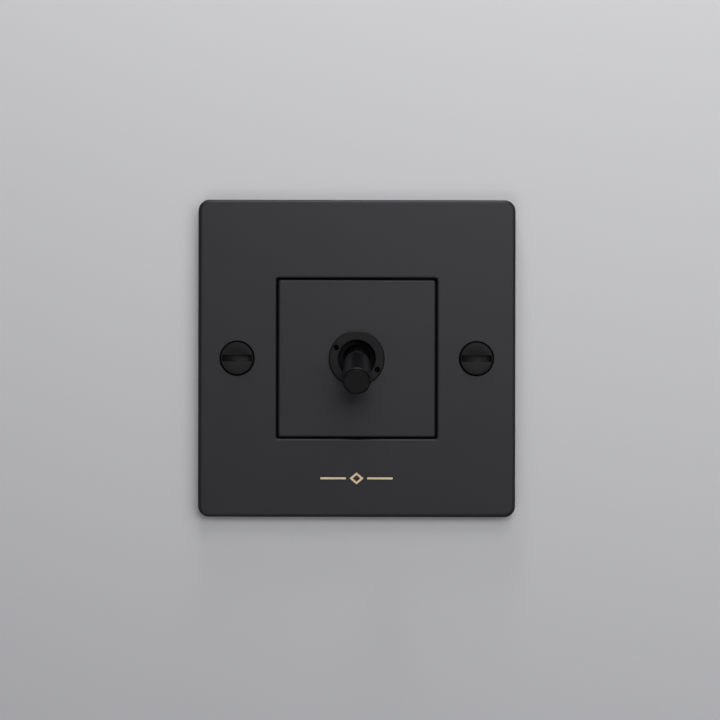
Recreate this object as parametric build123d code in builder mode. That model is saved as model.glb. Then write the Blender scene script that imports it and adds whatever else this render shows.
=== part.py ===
from build123d import *
import os
from math import cos, radians, sin, sqrt, tan

os.makedirs("parts", exist_ok=True)

# A one-gang toggle wall switch, in millimetres. The wall is the plane Y = 0, the room is
# on the -Y side, +Z is up, and the origin is the middle of the two fixing screws.

# ---- driving dimensions: plate, gasket and fixings -------------------------------
PLATE_SIZE = 80.0
PLATE_CORNER = 2.8
PLATE_FRONT = -5.0
PLATE_EDGE_ROUND = 1.0
SKIN = 2.0
SKIN_BACK = PLATE_FRONT + SKIN
RIM_WALL = 2.0
GASKET_THICK = 0.5
GASKET_OUTER = 79.4
GASKET_INNER = 76.4
WINDOW = 40.5
WINDOW_CORNER = 0.6
WINDOW_LIP_ROUND = 0.5

SCREW_PITCH = 60.3
SCREW_D = 3.5
SCREW_HOLE_D = 3.9
SCREW_HEAD_D = 8.1
SCREW_HEAD_FRONT = -6.0
SCREW_HEAD_BACK = -4.0
SCREW_HEAD_ROUND = 0.15
SCREW_NECK_D = 3.0
SCREW_END = 22.0
SCREW_POINT = 0.8
HEAD_RECESS_D = 8.9
SLOT_LENGTH = 7.5
SLOT_WIDTH = 1.6
SLOT_DEPTH_MIDDLE = 0.55
SLOT_DEPTH_END = 1.5
OVERCUT = 1.0
RETAINER_OD = 7.0
RETAINER_ID = 3.05
RETAINER_THICK = 1.1

# ---- driving dimensions: steel frame behind the plate ----------------------------
FRAME_WIDTH = 74.4
FRAME_HEIGHT = 66.0
FRAME_THICK = 1.5
FRAME_CORNER = 3.0
FRAME_WINDOW = 40.2
FRAME_SLOT_WIDTH = 4.2
FRAME_SLOT_LENGTH = 6.0
FRAME_SCREW_DX = 52.0
FRAME_SCREW_DZ = 54.0
FRAME_SCREW_D = 2.5
FRAME_SCREW_HEAD_D = 4.7
FRAME_SCREW_ANGLE = 90.0
FRAME_SCREW_CROSS = 3.5
FRAME_SCREW_TIP = -3.8
BOSS_D = 5.0

EARTH_Z = -26.5
EARTH_WIDTH = 9.0
EARTH_DEPTH = 7.0
EARTH_HEIGHT = 7.0
EARTH_SPIGOT_D = 3.0
EARTH_BORE_Y = 3.1
EARTH_SCREW_TIP = 4.9
WIRE_BORE_D = 3.2
CLAMP_SCREW_D = 3.0
CLAMP_HEAD_D = 5.2
CLAMP_HEAD_THICK = 1.3
CLAMP_HEAD_CHAMFER = 0.2
DRIVER_SLOT = 0.8

# ---- driving dimensions: module front and carrier --------------------------------
MODULE_SIZE = 39.7
MODULE_CORNER = 0.7
MODULE_FRONT = -4.9
MODULE_THICK = 1.5
MODULE_BACK = MODULE_FRONT + MODULE_THICK
MODULE_EDGE_ROUND = 0.55
COLLAR_OD = 12.4
COLLAR_HOLE_D = 12.5
CARRIER_SIZE = 39.4
CARRIER_CORNER = 1.0
CARRIER_WALL = 1.6
CARRIER_FLOOR_BACK = -2.2
CARRIER_BACK = 6.0
FLANGE_SIZE = 46.0
FLANGE_CORNER = 2.0
FLANGE_FRONT = -2.9
FLANGE_BACK = -1.6
HOOK_X = 10.0
HOOK_WIDTH = 6.0
HOOK_REACH = 1.2
HOOK_FRONT = 0.15
HOOK_LAND = 0.5
HOOK_BACK = 2.4
HOOK_SLIT = 0.8

# ---- driving dimensions: bezel, lever and its pin --------------------------------
BEZEL_OD = 14.0
BEZEL_ID = 9.2
BEZEL_FRONT = -6.1
BEZEL_OUTER_CHAMFER = 0.25
BEZEL_INNER_CHAMFER = 0.2
BARREL_OD = 10.5
BARREL_BACK = -2.8
COLLAR_ID = 10.6
PIN_HOLE_D = 1.4
PIN_HOLE_DEPTH = 0.9
PIN_HOLE_PCD = 11.75
PIN_HOLE_ANGLE = 151.8

PIVOT_Y = -1.65
LEVER_TILT = 15.0
PIVOT_PIN_D = 1.6
PIVOT_PIN_LENGTH = 12.0
PIN_CLEARANCE = 0.04
BALL_D = 7.0
BALL_SEAT_D = 7.1
GRIP_D = 6.9
GRIP_REAR = 5.75
GRIP_TIP = 22.0
GRIP_TIP_CHAMFER = 0.35
GRIP_REAR_CHAMFER = 0.3
STEM_D = 4.2
STEM_TIP = 16.0
STEM_FIT = 0.02
TAIL_D = 4.6
TAIL_END = 8.0

PLUNGER_BORE_D = 2.8
PLUNGER_BORE_FLOOR = 3.0
PLUNGER_D = 2.6
PLUNGER_REAR = 6.0
PLUNGER_NOSE = 9.6
SPRING_OD = 2.5
SPRING_ID = 1.7

# ---- driving dimensions: switch body and contacts --------------------------------
BODY_WIDTH = 30.0
BODY_HEIGHT = 34.0
BODY_CORNER = 1.2
COVER_BACK = 1.8
BASE_BACK = 18.5
CHAMBER_WIDTH = 9.0
CHAMBER_HEIGHT = 15.4
CHAMBER_FLOOR = 12.0
POCKET_WIDTH = 7.2
POCKET_FLOOR = 17.0
SIDE_POCKET_END = 13.0
POCKET_END = 15.0
RIVET_DX = 25.0
RIVET_DZ = 29.0
RIVET_D = 2.5
RIVET_BORE_D = 1.5
RIVET_HOLE_D = 2.6
RIVET_HEAD_D = 4.2
RIVET_HEAD_THICK = 0.7
RIVET_RECESS_D = 4.5
RIVET_RECESS = 0.8

ROCKER_REACH = 11.035
ROCKER_TILT = 8.0
ROCKER_DISH = 10.0
ROCKER_HALF = 6.4
ROCKER_WIDTH = 4.0
ROCKER_THICK = 0.8
BEAD_D = 1.6
BEAD_DROP = 1.3
BEAD_GROOVE_D = 1.72
FULCRUM_Y = PIVOT_Y + ROCKER_REACH + BEAD_DROP
CRADLE_FRONT = FULCRUM_Y + 0.1
CRADLE_WIDTH = 3.2
CRADLE_HEIGHT = 4.0
CONTACT_D = 2.0
CONTACT_THICK = 0.5
CONTACT_ARM = 5.3
FIXED_CONTACT_Z = 5.45
FIXED_CONTACT_FRONT = FULCRUM_Y - 0.08
STRIP_THICK = 0.8
STRIP_FRONT = CHAMBER_FLOOR - STRIP_THICK
STRIP_WIDTH = 4.0
STRIP_INNER_END = 4.2
BLOCK_WIDTH = 6.8
BLOCK_LENGTH = 6.0
BLOCK_END_GAP = 0.2
WIRE_BORE_Y = 14.2
WIRE_ENTRY_D = 3.6
SCREW_ACCESS_D = 5.8
CLAMP_SCREW_TIP = 15.9

# ---- planes and places -----------------------------------------------------------
PIVOT = (0, PIVOT_Y, 0)
TO_TIP = (0, -cos(radians(LEVER_TILT)), -sin(radians(LEVER_TILT)))
LEVER = Plane(origin=PIVOT, x_dir=(1, 0, 0), z_dir=TO_TIP)
LEVER_SECTION = Plane(
    origin=PIVOT,
    x_dir=(0, sin(radians(LEVER_TILT)), -cos(radians(LEVER_TILT))),
    z_dir=(-1, 0, 0),
)
LEVER_LINE = Axis(PIVOT, TO_TIP)
ROCKER = Plane(
    origin=(0, FULCRUM_Y, 0),
    x_dir=(0, cos(radians(ROCKER_TILT)), -sin(radians(ROCKER_TILT))),
    z_dir=(1, 0, 0),
)
WALL_SIDE = Plane(origin=(0, 0, 0), x_dir=(1, 0, 0), z_dir=(0, 1, 0))


def facing_room(y):
    """A plane at depth y, parallel to the wall, on which extrude grows towards the room."""
    return Plane.XZ.offset(-y)


def save(piece, name):
    """Label a finished piece and write its STEP file."""
    piece.part.label = name
    export_step(piece.part, f"parts/{name}.step")


# ---- face_plate ------------------------------------------------------------------
with BuildPart() as face_plate:
    with BuildSketch(facing_room(-GASKET_THICK)):
        RectangleRounded(PLATE_SIZE, PLATE_SIZE, PLATE_CORNER)
    extrude(amount=-GASKET_THICK - PLATE_FRONT)
    fillet(face_plate.faces().sort_by(Axis.Y)[0].edges(), radius=PLATE_EDGE_ROUND)
    with BuildSketch(facing_room(-GASKET_THICK)):
        RectangleRounded(
            PLATE_SIZE - 2 * RIM_WALL, PLATE_SIZE - 2 * RIM_WALL, PLATE_CORNER - RIM_WALL
        )
    extrude(amount=-GASKET_THICK - SKIN_BACK, mode=Mode.SUBTRACT)
    with BuildSketch(facing_room(SKIN_BACK)):
        RectangleRounded(WINDOW, WINDOW, WINDOW_CORNER)
    extrude(amount=SKIN, mode=Mode.SUBTRACT)
    window_edges = face_plate.edges(Select.LAST).group_by(Axis.Y)[0]
    fillet(window_edges, radius=WINDOW_LIP_ROUND)
    with BuildSketch(facing_room(SCREW_HEAD_BACK)):
        with GridLocations(SCREW_PITCH, 0, 2, 1):
            Circle(HEAD_RECESS_D / 2)
    extrude(amount=SCREW_HEAD_BACK - PLATE_FRONT, mode=Mode.SUBTRACT)
    with BuildSketch(facing_room(SKIN_BACK)):
        with GridLocations(SCREW_PITCH, 0, 2, 1):
            Circle(SCREW_HOLE_D / 2)
    extrude(amount=SKIN, mode=Mode.SUBTRACT)
    with BuildSketch(facing_room(-FRAME_THICK)):
        with GridLocations(FRAME_SCREW_DX, FRAME_SCREW_DZ, 2, 2):
            Circle(BOSS_D / 2)
    extrude(amount=-FRAME_THICK - SKIN_BACK)
    with BuildSketch(facing_room(-FRAME_THICK)):
        with GridLocations(FRAME_SCREW_DX, FRAME_SCREW_DZ, 2, 2):
            Circle(FRAME_SCREW_D / 2)
    extrude(amount=-FRAME_THICK - FRAME_SCREW_TIP, mode=Mode.SUBTRACT)
save(face_plate, "face_plate")

# ---- wall_gasket: closed-cell ring under the plate's rim -------------------------
with BuildPart() as wall_gasket:
    with BuildSketch(facing_room(0)):
        RectangleRounded(GASKET_OUTER, GASKET_OUTER, PLATE_CORNER)
        RectangleRounded(GASKET_INNER, GASKET_INNER, PLATE_CORNER - RIM_WALL, mode=Mode.SUBTRACT)
    extrude(amount=GASKET_THICK)
save(wall_gasket, "wall_gasket")

# ---- fixing_screws: crowned slots, a plain neck, and thread from the wall back ---
with BuildPart() as fixing_screws:
    with BuildSketch(facing_room(SCREW_HEAD_BACK)):
        with GridLocations(SCREW_PITCH, 0, 2, 1):
            Circle(SCREW_HEAD_D / 2)
    extrude(amount=SCREW_HEAD_BACK - SCREW_HEAD_FRONT)
    fillet(
        fixing_screws.edges().group_by(Axis.Y)[0].filter_by(GeomType.CIRCLE),
        radius=SCREW_HEAD_ROUND,
    )
    with BuildSketch(facing_room(0)):
        with GridLocations(SCREW_PITCH, 0, 2, 1):
            Circle(SCREW_NECK_D / 2)
    extrude(amount=-SCREW_HEAD_BACK)
    with BuildSketch(facing_room(SCREW_END)):
        with GridLocations(SCREW_PITCH, 0, 2, 1):
            Circle(SCREW_D / 2)
    extrude(amount=SCREW_END)
    chamfer(
        fixing_screws.edges().group_by(Axis.Y)[-1].filter_by(GeomType.CIRCLE),
        length=SCREW_POINT,
    )
    for screw_x in (-SCREW_PITCH / 2, SCREW_PITCH / 2):
        with BuildSketch(Plane.XY):
            with BuildLine():
                left = screw_x - SLOT_LENGTH / 2
                right = screw_x + SLOT_LENGTH / 2
                Polyline(
                    (left, SCREW_HEAD_FRONT + SLOT_DEPTH_END),
                    (left, SCREW_HEAD_FRONT - OVERCUT),
                    (right, SCREW_HEAD_FRONT - OVERCUT),
                    (right, SCREW_HEAD_FRONT + SLOT_DEPTH_END),
                )
                ThreePointArc(
                    (right, SCREW_HEAD_FRONT + SLOT_DEPTH_END),
                    (screw_x, SCREW_HEAD_FRONT + SLOT_DEPTH_MIDDLE),
                    (left, SCREW_HEAD_FRONT + SLOT_DEPTH_END),
                )
            make_face()
        extrude(amount=SLOT_WIDTH / 2, both=True, mode=Mode.SUBTRACT)
save(fixing_screws, "fixing_screws")

# ---- screw_retainers: nylon rings that keep the screws in the plate --------------
with BuildPart() as screw_retainers:
    with BuildSketch(facing_room(SKIN_BACK + RETAINER_THICK)):
        with GridLocations(SCREW_PITCH, 0, 2, 1):
            Circle(RETAINER_OD / 2)
            Circle(RETAINER_ID / 2, mode=Mode.SUBTRACT)
    extrude(amount=RETAINER_THICK)
save(screw_retainers, "screw_retainers")

# ---- back_frame ------------------------------------------------------------------
with BuildPart() as back_frame:
    with BuildSketch(facing_room(0)):
        RectangleRounded(FRAME_WIDTH, FRAME_HEIGHT, FRAME_CORNER)
        RectangleRounded(FRAME_WINDOW, FRAME_WINDOW, CARRIER_CORNER, mode=Mode.SUBTRACT)
        with GridLocations(SCREW_PITCH, 0, 2, 1):
            SlotOverall(FRAME_SLOT_LENGTH, FRAME_SLOT_WIDTH, mode=Mode.SUBTRACT)
        with Locations((0, EARTH_Z)):
            Circle(EARTH_SPIGOT_D / 2, mode=Mode.SUBTRACT)
    extrude(amount=FRAME_THICK)
    with Locations(WALL_SIDE):
        with GridLocations(FRAME_SCREW_DX, FRAME_SCREW_DZ, 2, 2):
            CounterSinkHole(
                radius=FRAME_SCREW_D / 2,
                counter_sink_radius=FRAME_SCREW_HEAD_D / 2,
                counter_sink_angle=FRAME_SCREW_ANGLE,
            )
save(back_frame, "back_frame")

# ---- frame_screws: countersunk, flush with the wall side of the frame ------------
with BuildPart() as frame_screws:
    with BuildSketch(facing_room(0)):
        with GridLocations(FRAME_SCREW_DX, FRAME_SCREW_DZ, 2, 2):
            Circle(FRAME_SCREW_D / 2)
    extrude(amount=-FRAME_SCREW_TIP)
    head_depth = (FRAME_SCREW_HEAD_D - FRAME_SCREW_D) / 2
    with BuildSketch(facing_room(0)):
        with GridLocations(FRAME_SCREW_DX, FRAME_SCREW_DZ, 2, 2):
            Circle(FRAME_SCREW_HEAD_D / 2)
    extrude(amount=head_depth, taper=FRAME_SCREW_ANGLE / 2)
    with BuildSketch(facing_room(0)):
        with GridLocations(FRAME_SCREW_DX, FRAME_SCREW_DZ, 2, 2):
            Rectangle(FRAME_SCREW_CROSS, DRIVER_SLOT)
            Rectangle(DRIVER_SLOT, FRAME_SCREW_CROSS)
    extrude(amount=head_depth / 2, mode=Mode.SUBTRACT)
save(frame_screws, "frame_screws")

# ---- earth_terminal: brass block with a spigot through the frame -----------------
with BuildPart() as earth_terminal:
    with BuildSketch(facing_room(EARTH_DEPTH)):
        with Locations((0, EARTH_Z)):
            Rectangle(EARTH_WIDTH, EARTH_HEIGHT)
    extrude(amount=EARTH_DEPTH)
    with BuildSketch(facing_room(0)):
        with Locations((0, EARTH_Z)):
            Circle(EARTH_SPIGOT_D / 2)
    extrude(amount=FRAME_THICK)
    with BuildSketch(Plane.YZ):
        with Locations((EARTH_BORE_Y, EARTH_Z)):
            Circle(WIRE_BORE_D / 2)
    extrude(amount=EARTH_WIDTH, both=True, mode=Mode.SUBTRACT)
    with BuildSketch(facing_room(EARTH_DEPTH)):
        with Locations((0, EARTH_Z)):
            Circle(CLAMP_SCREW_D / 2)
    extrude(amount=EARTH_DEPTH / 2, mode=Mode.SUBTRACT)
save(earth_terminal, "earth_terminal")


def clamp_screws(places, seat_y, tip_y):
    """Slotted cheese-head screws whose heads sit on seat_y and whose ends reach tip_y."""
    with BuildPart() as screws:
        with BuildSketch(facing_room(seat_y + CLAMP_HEAD_THICK)):
            with Locations(*places):
                Circle(CLAMP_HEAD_D / 2)
        extrude(amount=CLAMP_HEAD_THICK)
        chamfer(
            screws.edges().group_by(Axis.Y)[-1].filter_by(GeomType.CIRCLE),
            length=CLAMP_HEAD_CHAMFER,
        )
        with BuildSketch(facing_room(seat_y)):
            with Locations(*places):
                Circle(CLAMP_SCREW_D / 2)
        extrude(amount=seat_y - tip_y)
        with BuildSketch(facing_room(seat_y + CLAMP_HEAD_THICK)):
            with Locations(*places):
                Rectangle(DRIVER_SLOT, CLAMP_HEAD_D)
        extrude(amount=CLAMP_HEAD_THICK / 2, mode=Mode.SUBTRACT)
    return screws


# ---- earth_screw -----------------------------------------------------------------
earth_screw = clamp_screws([(0, EARTH_Z)], EARTH_DEPTH, EARTH_SCREW_TIP)
save(earth_screw, "earth_screw")

# ---- module_face -----------------------------------------------------------------
with BuildPart() as module_face:
    with BuildSketch(facing_room(MODULE_BACK)):
        RectangleRounded(MODULE_SIZE, MODULE_SIZE, MODULE_CORNER)
    extrude(amount=MODULE_THICK)
    fillet(module_face.faces().sort_by(Axis.Y)[0].edges(), radius=MODULE_EDGE_ROUND)
    with BuildSketch(facing_room(MODULE_BACK)):
        Circle(COLLAR_HOLE_D / 2)
    extrude(amount=MODULE_THICK, mode=Mode.SUBTRACT)
save(module_face, "module_face")

# ---- module_carrier: moulded cup with a flange and four snap hooks ---------------
with BuildPart() as module_carrier:
    with BuildSketch(facing_room(CARRIER_BACK)):
        RectangleRounded(CARRIER_SIZE, CARRIER_SIZE, CARRIER_CORNER)
    extrude(amount=CARRIER_BACK - MODULE_BACK)
    with BuildSketch(facing_room(FLANGE_BACK)):
        RectangleRounded(FLANGE_SIZE, FLANGE_SIZE, FLANGE_CORNER)
    extrude(amount=FLANGE_BACK - FLANGE_FRONT)
    for side in (1, -1):
        for hook_x in (-HOOK_X, HOOK_X):
            with BuildSketch(Plane.YZ.offset(hook_x)):
                wall_z = side * (CARRIER_SIZE / 2 - CARRIER_WALL / 2)
                tip_z = side * (CARRIER_SIZE / 2 + HOOK_REACH)
                with BuildLine():
                    Polyline(
                        (HOOK_FRONT, wall_z),
                        (HOOK_FRONT, tip_z),
                        (HOOK_FRONT + HOOK_LAND, tip_z),
                        (HOOK_BACK, wall_z),
                        close=True,
                    )
                make_face()
            extrude(amount=HOOK_WIDTH / 2, both=True)
    inner = CARRIER_SIZE - 2 * CARRIER_WALL
    with BuildSketch(facing_room(CARRIER_BACK)):
        RectangleRounded(inner, inner, CARRIER_CORNER / 2)
    extrude(amount=CARRIER_BACK - CARRIER_FLOOR_BACK, mode=Mode.SUBTRACT)
    with BuildSketch(facing_room(CARRIER_FLOOR_BACK)):
        Circle(COLLAR_HOLE_D / 2)
    extrude(amount=CARRIER_FLOOR_BACK - MODULE_BACK, mode=Mode.SUBTRACT)
    slit_dx = HOOK_WIDTH / 2 + HOOK_SLIT
    with BuildSketch(facing_room(CARRIER_BACK)):
        with Locations(*[(x + d, 0) for x in (-HOOK_X, HOOK_X) for d in (-slit_dx, slit_dx)]):
            Rectangle(HOOK_SLIT, CARRIER_SIZE + OVERCUT)
    extrude(amount=CARRIER_BACK, mode=Mode.SUBTRACT)
save(module_carrier, "module_carrier")

# ---- toggle_bezel: spanner ring that screws into the collar ----------------------
with BuildPart() as toggle_bezel:
    with BuildSketch(facing_room(MODULE_FRONT)):
        Circle(BEZEL_OD / 2)
    extrude(amount=MODULE_FRONT - BEZEL_FRONT)
    chamfer(
        toggle_bezel.faces().sort_by(Axis.Y)[0].edges(), length=BEZEL_OUTER_CHAMFER
    )
    with BuildSketch(facing_room(BARREL_BACK)):
        Circle(BARREL_OD / 2)
    extrude(amount=BARREL_BACK - MODULE_FRONT)
    with BuildSketch(facing_room(BARREL_BACK)):
        Circle(BEZEL_ID / 2)
    extrude(amount=BARREL_BACK - BEZEL_FRONT, mode=Mode.SUBTRACT)
    chamfer(
        toggle_bezel.edges().group_by(Axis.Y)[0].sort_by(SortBy.RADIUS)[0],
        length=BEZEL_INNER_CHAMFER,
    )
    with BuildSketch(facing_room(BEZEL_FRONT + PIN_HOLE_DEPTH)):
        with PolarLocations(PIN_HOLE_PCD / 2, 2, start_angle=PIN_HOLE_ANGLE):
            Circle(PIN_HOLE_D / 2)
    extrude(amount=PIN_HOLE_DEPTH, mode=Mode.SUBTRACT)
save(toggle_bezel, "toggle_bezel")

# ---- switch_cover: front moulding with the collar and the ball's seat ------------
with BuildPart() as switch_cover:
    with BuildSketch(facing_room(COVER_BACK)):
        RectangleRounded(BODY_WIDTH, BODY_HEIGHT, BODY_CORNER)
    extrude(amount=COVER_BACK - CARRIER_FLOOR_BACK)
    with BuildSketch(facing_room(CARRIER_FLOOR_BACK)):
        Circle(COLLAR_OD / 2)
    extrude(amount=CARRIER_FLOOR_BACK - MODULE_FRONT)
    with BuildSketch(facing_room(BARREL_BACK)):
        Circle(COLLAR_ID / 2)
    extrude(amount=BARREL_BACK - MODULE_FRONT, mode=Mode.SUBTRACT)
    with BuildSketch(facing_room(COVER_BACK)):
        Circle(BALL_SEAT_D / 2)
    extrude(amount=COVER_BACK - BARREL_BACK, mode=Mode.SUBTRACT)
    with BuildSketch(Plane.YZ):
        with Locations((PIVOT_Y, 0)):
            Circle(PIVOT_PIN_D / 2)
    extrude(amount=PIVOT_PIN_LENGTH / 2, both=True, mode=Mode.SUBTRACT)
    with BuildSketch(facing_room(COVER_BACK)):
        with GridLocations(RIVET_DX, RIVET_DZ, 2, 2):
            Circle(RIVET_HOLE_D / 2)
    extrude(amount=COVER_BACK - CARRIER_FLOOR_BACK, mode=Mode.SUBTRACT)
    with BuildSketch(facing_room(CARRIER_FLOOR_BACK + RIVET_RECESS)):
        with GridLocations(RIVET_DX, RIVET_DZ, 2, 2):
            Circle(RIVET_RECESS_D / 2)
    extrude(amount=RIVET_RECESS, mode=Mode.SUBTRACT)
save(switch_cover, "switch_cover")

# ---- switch_base: rear moulding with the contact chamber and three pockets -------
with BuildPart() as switch_base:
    with BuildSketch(facing_room(BASE_BACK)):
        RectangleRounded(BODY_WIDTH, BODY_HEIGHT, BODY_CORNER)
    extrude(amount=BASE_BACK - COVER_BACK)
    with BuildSketch(facing_room(CHAMBER_FLOOR)):
        Rectangle(CHAMBER_WIDTH, CHAMBER_HEIGHT)
        Rectangle(POCKET_WIDTH, 2 * POCKET_END)
        with Locations((SIDE_POCKET_END / 2, 0)):
            Rectangle(SIDE_POCKET_END, POCKET_WIDTH)
    extrude(amount=CHAMBER_FLOOR - COVER_BACK, mode=Mode.SUBTRACT)
    pocket_length = BLOCK_LENGTH + 2 * BLOCK_END_GAP
    with BuildSketch(facing_room(POCKET_FLOOR)):
        with Locations((0, POCKET_END - pocket_length / 2), (0, pocket_length / 2 - POCKET_END)):
            Rectangle(POCKET_WIDTH, pocket_length)
        with Locations((SIDE_POCKET_END - pocket_length / 2, 0)):
            Rectangle(pocket_length, POCKET_WIDTH)
    extrude(amount=POCKET_FLOOR - CHAMBER_FLOOR, mode=Mode.SUBTRACT)
    block_middle = POCKET_END - pocket_length / 2
    side_block_middle = SIDE_POCKET_END - pocket_length / 2
    block_places = [(0, block_middle), (0, -block_middle), (side_block_middle, 0)]
    with BuildSketch(facing_room(BASE_BACK)):
        with Locations(*block_places):
            Circle(SCREW_ACCESS_D / 2)
    extrude(amount=BASE_BACK - POCKET_FLOOR, mode=Mode.SUBTRACT)
    with BuildSketch(Plane.XY):
        with Locations((0, WIRE_BORE_Y)):
            Circle(WIRE_ENTRY_D / 2)
    extrude(amount=BODY_HEIGHT / 2, both=True, mode=Mode.SUBTRACT)
    with BuildSketch(Plane.YZ.offset(side_block_middle)):
        with Locations((WIRE_BORE_Y, 0)):
            Circle(WIRE_ENTRY_D / 2)
    extrude(amount=BODY_WIDTH / 2, mode=Mode.SUBTRACT)
    with BuildSketch(facing_room(BASE_BACK)):
        with GridLocations(RIVET_DX, RIVET_DZ, 2, 2):
            Circle(RIVET_HOLE_D / 2)
    extrude(amount=BASE_BACK - COVER_BACK, mode=Mode.SUBTRACT)
    with BuildSketch(facing_room(BASE_BACK)):
        with GridLocations(RIVET_DX, RIVET_DZ, 2, 2):
            Circle(RIVET_RECESS_D / 2)
    extrude(amount=RIVET_RECESS, mode=Mode.SUBTRACT)
save(switch_base, "switch_base")

# ---- case_rivets: hollow rivets through cover and base ---------------------------
with BuildPart() as case_rivets:
    rivet_back = BASE_BACK - RIVET_RECESS + RIVET_HEAD_THICK
    rivet_front = CARRIER_FLOOR_BACK + RIVET_RECESS - RIVET_HEAD_THICK
    for head_back in (rivet_back, rivet_front + RIVET_HEAD_THICK):
        with BuildSketch(facing_room(head_back)):
            with GridLocations(RIVET_DX, RIVET_DZ, 2, 2):
                Circle(RIVET_HEAD_D / 2)
        extrude(amount=RIVET_HEAD_THICK)
    with BuildSketch(facing_room(rivet_back)):
        with GridLocations(RIVET_DX, RIVET_DZ, 2, 2):
            Circle(RIVET_D / 2)
    extrude(amount=rivet_back - rivet_front)
    with BuildSketch(facing_room(rivet_back)):
        with GridLocations(RIVET_DX, RIVET_DZ, 2, 2):
            Circle(RIVET_BORE_D / 2)
    extrude(amount=rivet_back - rivet_front, mode=Mode.SUBTRACT)
save(case_rivets, "case_rivets")

# ---- pivot_pin: fixed in the cover, the ball turns on it -------------------------
with BuildPart() as pivot_pin:
    with BuildSketch(Plane.YZ):
        with Locations((PIVOT_Y, 0)):
            Circle(PIVOT_PIN_D / 2)
    extrude(amount=PIVOT_PIN_LENGTH / 2, both=True)
save(pivot_pin, "pivot_pin")

# ---- lever_grip: the sleeve that the finger holds --------------------------------
with BuildPart() as lever_grip:
    with BuildSketch(LEVER.offset(GRIP_REAR)):
        Circle(GRIP_D / 2)
    extrude(amount=GRIP_TIP - GRIP_REAR)
    grip_ends = lever_grip.faces().sort_by(LEVER_LINE)
    chamfer(grip_ends[-1].edges(), length=GRIP_TIP_CHAMFER)
    chamfer(lever_grip.faces().sort_by(LEVER_LINE)[0].edges(), length=GRIP_REAR_CHAMFER)
    with BuildSketch(LEVER.offset(GRIP_REAR)):
        Circle(STEM_D / 2 + STEM_FIT)
    extrude(amount=STEM_TIP - GRIP_REAR, mode=Mode.SUBTRACT)
save(lever_grip, "lever_grip")

# ---- lever_core: stem, ball and hollow tail in one turning -----------------------
stem_joins_ball = sqrt(BALL_D**2 - STEM_D**2) / 2
tail_joins_ball = sqrt(BALL_D**2 - TAIL_D**2) / 2
with BuildPart() as lever_core:
    with BuildSketch(LEVER_SECTION):
        with BuildLine():
            Polyline((0, STEM_TIP), (STEM_D / 2, STEM_TIP), (STEM_D / 2, stem_joins_ball))
            ThreePointArc(
                (STEM_D / 2, stem_joins_ball), (BALL_D / 2, 0), (TAIL_D / 2, -tail_joins_ball)
            )
            Polyline(
                (TAIL_D / 2, -tail_joins_ball),
                (TAIL_D / 2, -TAIL_END),
                (PLUNGER_BORE_D / 2, -TAIL_END),
                (PLUNGER_BORE_D / 2, -PLUNGER_BORE_FLOOR),
                (0, -PLUNGER_BORE_FLOOR),
                (0, STEM_TIP),
            )
        make_face()
    revolve(axis=LEVER_LINE)
    with BuildSketch(Plane.YZ):
        with Locations((PIVOT_Y, 0)):
            Circle(PIVOT_PIN_D / 2 + PIN_CLEARANCE)
    extrude(amount=BALL_D, both=True, mode=Mode.SUBTRACT)
save(lever_core, "lever_core")

# ---- plunger and its spring, in the tail -----------------------------------------
with BuildPart() as plunger:
    with BuildSketch(LEVER.offset(-PLUNGER_NOSE)):
        Circle(PLUNGER_D / 2)
    extrude(amount=PLUNGER_NOSE - PLUNGER_REAR)
    with Locations(LEVER.offset(-PLUNGER_NOSE)):
        Sphere(PLUNGER_D / 2)
save(plunger, "plunger")

with BuildPart() as plunger_spring:
    with BuildSketch(LEVER.offset(-PLUNGER_REAR)):
        Circle(SPRING_OD / 2)
        Circle(SPRING_ID / 2, mode=Mode.SUBTRACT)
    extrude(amount=PLUNGER_REAR - PLUNGER_BORE_FLOOR)
save(plunger_spring, "plunger_spring")

# ---- rocker_contact: dished see-saw on a round bead ------------------------------
arm_rise = ROCKER_HALF * tan(radians(ROCKER_DISH))
with BuildPart() as rocker_contact:
    with BuildSketch(ROCKER):
        with BuildLine():
            Polyline(
                (-BEAD_DROP, 0),
                (-BEAD_DROP - arm_rise, ROCKER_HALF),
                (-BEAD_DROP - arm_rise + ROCKER_THICK, ROCKER_HALF),
                (-BEAD_DROP + ROCKER_THICK, 0),
                (-BEAD_DROP - arm_rise + ROCKER_THICK, -ROCKER_HALF),
                (-BEAD_DROP - arm_rise, -ROCKER_HALF),
                close=True,
            )
        make_face()
        Circle(BEAD_D / 2)
    extrude(amount=ROCKER_WIDTH / 2, both=True)
save(rocker_contact, "rocker_contact")

# ---- moving_contacts: silver buttons on the back of both arms --------------------
dish_angle = radians(ROCKER_DISH)
with BuildPart() as moving_contacts:
    for side in (1, -1):
        arm_back = ROCKER_THICK - BEAD_DROP - CONTACT_ARM * tan(dish_angle)
        seat = ROCKER.from_local_coords((arm_back, side * CONTACT_ARM, 0))
        ahead = ROCKER.from_local_coords(
            (arm_back + cos(dish_angle), side * (CONTACT_ARM + sin(dish_angle)), 0)
        )
        with BuildSketch(Plane(origin=seat, x_dir=(1, 0, 0), z_dir=ahead - seat)):
            Circle(CONTACT_D / 2)
        extrude(amount=CONTACT_THICK)
save(moving_contacts, "moving_contacts")

# ---- common_terminal: cradle under the bead, and the strip to its clamp block ----
with BuildPart() as common_terminal:
    with BuildSketch(facing_room(CHAMBER_FLOOR)):
        Rectangle(CRADLE_WIDTH, CRADLE_HEIGHT)
    extrude(amount=CHAMBER_FLOOR - CRADLE_FRONT)
    strip_end = SIDE_POCKET_END - 2 * BLOCK_END_GAP
    with BuildSketch(facing_room(CHAMBER_FLOOR)):
        with Locations((strip_end / 2, 0)):
            Rectangle(strip_end, STRIP_WIDTH)
    extrude(amount=STRIP_THICK)
    with BuildSketch(Plane.YZ):
        with Locations((FULCRUM_Y, 0)):
            Circle(BEAD_GROOVE_D / 2)
    extrude(amount=CRADLE_WIDTH, both=True, mode=Mode.SUBTRACT)
save(common_terminal, "common_terminal")

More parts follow.
